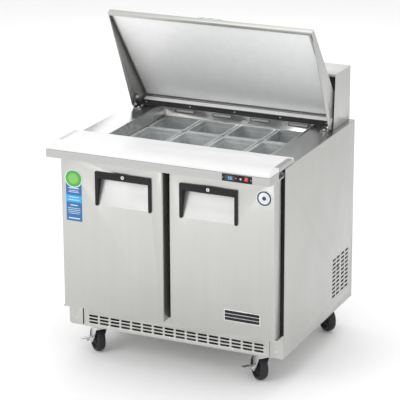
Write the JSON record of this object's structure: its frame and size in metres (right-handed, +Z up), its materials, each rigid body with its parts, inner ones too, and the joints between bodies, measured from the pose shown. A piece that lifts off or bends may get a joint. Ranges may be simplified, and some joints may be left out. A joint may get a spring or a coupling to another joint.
{
  "type": "sandwich prep table",
  "caption": "Two-door refrigerated sandwich prep table on casters, with a cutting board shelf, lift-out food pans, a rear hood and a hinged wedge lid.",
  "frame": {"origin": "floor level at the centre of the overall plan", "axes": "+Z up, front (doors and cutting board) towards -Y, +X to the right seen from the front"},
  "size_m": [0.905, 0.864, 1.3169],
  "materials": {
    "stainless_steel": "fine brushed stainless, satin, warm grey",
    "dark_steel": "satin steel, darker",
    "galvanised_steel": "dull galvanised sheet",
    "zinc_plate": "bright zinc plate",
    "black_plastic": "moulded black plastic",
    "gasket_rubber": "matte black vinyl",
    "wheel_rubber": "black rubber tread with a moulded hub",
    "white_board": "white polyethylene board, light knife marks",
    "white_coating": "light coated sheet or wire",
    "clear_plastic": "clear polycarbonate",
    "red_plastic": "red rocker, gloss",
    "grey_plastic": "grey button",
    "black_paint": "black paint, satin",
    "coil_aluminium": "fin and tube coil"
  },
  "bodies": {
    "cabinet": {"left_side_panel": "stainless_steel", "right_side_panel": "stainless_steel", "left_upper_hinge": "dark_steel", "right_upper_hinge": "dark_steel", "left_lid_bracket": "dark_steel", "right_lid_bracket": "dark_steel", "left_wire_shelf": "white_coating", "right_wire_shelf": "white_coating", "rear_panel": "galvanised_steel", "insulated_tub": "white_coating", "front_frame": "black_plastic", "base_frame": "stainless_steel", "kick_grille": "stainless_steel", "top_deck": "stainless_steel", "well_liner": "stainless_steel", "pan_rack": "dark_steel", "board_shelf": "stainless_steel", "control_panel": "black_plastic", "rear_hood": "stainless_steel", "compressor": "black_paint", "condenser": "coil_aluminium", "evaporator": "galvanised_steel"},
    "right_door": {"right_door": "stainless_steel", "right_door_gasket": "gasket_rubber", "right_door_handle": "black_plastic"},
    "left_door": {"left_door": "stainless_steel", "left_door_gasket": "gasket_rubber", "left_door_handle": "black_plastic"},
    "right_lock": {"right_door_lock": "zinc_plate"},
    "left_lock": {"left_door_lock": "zinc_plate"},
    "lid": {"lid_shell": "stainless_steel", "lid_liner": "stainless_steel", "lid_handle": "zinc_plate"},
    "board": {"cutting_board": "white_board"},
    "switch": {"power_switch": "red_plastic"},
    "button": {"set_button": "grey_plastic"},
    "condenser_rotor": {"condenser_fan": "black_plastic"},
    "evaporator_rotor": {"evaporator_fan": "black_plastic"},
    "pan_front_1": {"pan_front_1": "clear_plastic"},
    "pan_front_2": {"pan_front_2": "clear_plastic"},
    "pan_front_3": {"pan_front_3": "clear_plastic"},
    "pan_front_4": {"pan_front_4": "clear_plastic"},
    "pan_middle_1": {"pan_middle_1": "clear_plastic"},
    "pan_middle_2": {"pan_middle_2": "clear_plastic"},
    "pan_middle_3": {"pan_middle_3": "clear_plastic"},
    "pan_middle_4": {"pan_middle_4": "clear_plastic"},
    "pan_rear_1": {"pan_rear_1": "clear_plastic"},
    "pan_rear_2": {"pan_rear_2": "clear_plastic"},
    "pan_rear_3": {"pan_rear_3": "clear_plastic"},
    "pan_rear_4": {"pan_rear_4": "clear_plastic"},
    "front_left_fork": {"front_left_caster_fork": "zinc_plate"},
    "front_left_wheel": {"front_left_caster_wheel": "wheel_rubber"},
    "front_left_brake": {"front_left_brake_lever": "zinc_plate"},
    "rear_left_fork": {"rear_left_caster_fork": "zinc_plate"},
    "rear_left_wheel": {"rear_left_caster_wheel": "wheel_rubber"},
    "front_right_fork": {"front_right_caster_fork": "zinc_plate"},
    "front_right_wheel": {"front_right_caster_wheel": "wheel_rubber"},
    "front_right_brake": {"front_right_brake_lever": "zinc_plate"},
    "rear_right_fork": {"rear_right_caster_fork": "zinc_plate"},
    "rear_right_wheel": {"rear_right_caster_wheel": "wheel_rubber"}
  },
  "joints": [
    {"name": "lid_hinge", "type": "hinge", "parent": "cabinet", "child": "lid", "pos_m": [0, 0.2521, 0.91], "axis": [1, 0, 0], "range_deg": [0, 65.4]},
    {"name": "right_door_hinge", "type": "hinge", "parent": "cabinet", "child": "right_door", "pos_m": [0.428, -0.316, 0.55], "axis": [0, 0, 1], "range_deg": [0, 120]},
    {"name": "left_door_hinge", "type": "hinge", "parent": "cabinet", "child": "left_door", "pos_m": [-0.428, -0.316, 0.55], "axis": [0, 0, -1], "range_deg": [0, 120]},
    {"name": "right_lock_turn", "type": "hinge", "parent": "right_door", "child": "right_lock", "pos_m": [0.175, -0.338, 0.773], "axis": [0, 1, 0], "range_deg": [0, 90]},
    {"name": "left_lock_turn", "type": "hinge", "parent": "left_door", "child": "left_lock", "pos_m": [-0.175, -0.338, 0.773], "axis": [0, 1, 0], "range_deg": [0, 90]},
    {"name": "board_lift", "type": "slide", "parent": "cabinet", "child": "board", "axis": [0, 0, 1], "range_m": [0, 0.04]},
    {"name": "switch_rock", "type": "hinge", "parent": "cabinet", "child": "switch", "pos_m": [0.362, -0.425, 0.859], "axis": [1, 0, 0], "range_deg": [0, 14]},
    {"name": "button_press", "type": "slide", "parent": "cabinet", "child": "button", "axis": [0, 1, 0], "range_m": [0, 0.0015]},
    {"name": "condenser_fan_spin", "type": "hinge", "parent": "cabinet", "child": "condenser_rotor", "pos_m": [0.352, 0.3, 0.254], "axis": [1, 0, 0], "continuous": true},
    {"name": "evaporator_fan_spin", "type": "hinge", "parent": "cabinet", "child": "evaporator_rotor", "pos_m": [0, 0.31, 0.568], "axis": [0, 1, 0], "continuous": true},
    {"name": "pan_front_1_lift", "type": "slide", "parent": "cabinet", "child": "pan_front_1", "axis": [0, 0, 1], "range_m": [0, 0.045]},
    {"name": "pan_front_2_lift", "type": "slide", "parent": "cabinet", "child": "pan_front_2", "axis": [0, 0, 1], "range_m": [0, 0.045]},
    {"name": "pan_front_3_lift", "type": "slide", "parent": "cabinet", "child": "pan_front_3", "axis": [0, 0, 1], "range_m": [0, 0.045]},
    {"name": "pan_front_4_lift", "type": "slide", "parent": "cabinet", "child": "pan_front_4", "axis": [0, 0, 1], "range_m": [0, 0.045]},
    {"name": "pan_middle_1_lift", "type": "slide", "parent": "cabinet", "child": "pan_middle_1", "axis": [0, 0, 1], "range_m": [0, 0.045]},
    {"name": "pan_middle_2_lift", "type": "slide", "parent": "cabinet", "child": "pan_middle_2", "axis": [0, 0, 1], "range_m": [0, 0.045]},
    {"name": "pan_middle_3_lift", "type": "slide", "parent": "cabinet", "child": "pan_middle_3", "axis": [0, 0, 1], "range_m": [0, 0.045]},
    {"name": "pan_middle_4_lift", "type": "slide", "parent": "cabinet", "child": "pan_middle_4", "axis": [0, 0, 1], "range_m": [0, 0.045]},
    {"name": "pan_rear_1_lift", "type": "slide", "parent": "cabinet", "child": "pan_rear_1", "axis": [0, 0, 1], "range_m": [0, 0.045]},
    {"name": "pan_rear_2_lift", "type": "slide", "parent": "cabinet", "child": "pan_rear_2", "axis": [0, 0, 1], "range_m": [0, 0.045]},
    {"name": "pan_rear_3_lift", "type": "slide", "parent": "cabinet", "child": "pan_rear_3", "axis": [0, 0, 1], "range_m": [0, 0.045]},
    {"name": "pan_rear_4_lift", "type": "slide", "parent": "cabinet", "child": "pan_rear_4", "axis": [0, 0, 1], "range_m": [0, 0.045]},
    {"name": "front_left_swivel", "type": "hinge", "parent": "cabinet", "child": "front_left_fork", "pos_m": [-0.346, -0.234, 0.11], "axis": [0, 0, 1], "continuous": true},
    {"name": "front_left_roll", "type": "hinge", "parent": "front_left_fork", "child": "front_left_wheel", "pos_m": [-0.36487, -0.2176, 0.05], "axis": [-0.6561, -0.7547, 0], "continuous": true},
    {"name": "front_left_brake_press", "type": "hinge", "parent": "front_left_fork", "child": "front_left_brake", "pos_m": [-0.36487, -0.2176, 0.05], "axis": [-0.6561, -0.7547, 0], "range_deg": [0, 18]},
    {"name": "rear_left_swivel", "type": "hinge", "parent": "cabinet", "child": "rear_left_fork", "pos_m": [-0.366, 0.357, 0.11], "axis": [0, 0, 1], "continuous": true},
    {"name": "rear_left_roll", "type": "hinge", "parent": "rear_left_fork", "child": "rear_left_wheel", "pos_m": [-0.34713, 0.3406, 0.05], "axis": [0.6561, 0.7547, 0], "continuous": true},
    {"name": "front_right_swivel", "type": "hinge", "parent": "cabinet", "child": "front_right_fork", "pos_m": [0.346, -0.234, 0.11], "axis": [0, 0, 1], "continuous": true},
    {"name": "front_right_roll", "type": "hinge", "parent": "front_right_fork", "child": "front_right_wheel", "pos_m": [0.32713, -0.2176, 0.05], "axis": [-0.6561, -0.7547, 0], "continuous": true},
    {"name": "front_right_brake_press", "type": "hinge", "parent": "front_right_fork", "child": "front_right_brake", "pos_m": [0.32713, -0.2176, 0.05], "axis": [-0.6561, -0.7547, 0], "range_deg": [0, 18]},
    {"name": "rear_right_swivel", "type": "hinge", "parent": "cabinet", "child": "rear_right_fork", "pos_m": [0.366, 0.357, 0.11], "axis": [0, 0, 1], "continuous": true},
    {"name": "rear_right_roll", "type": "hinge", "parent": "rear_right_fork", "child": "rear_right_wheel", "pos_m": [0.38487, 0.3406, 0.05], "axis": [0.6561, 0.7547, 0], "continuous": true}
  ]
}
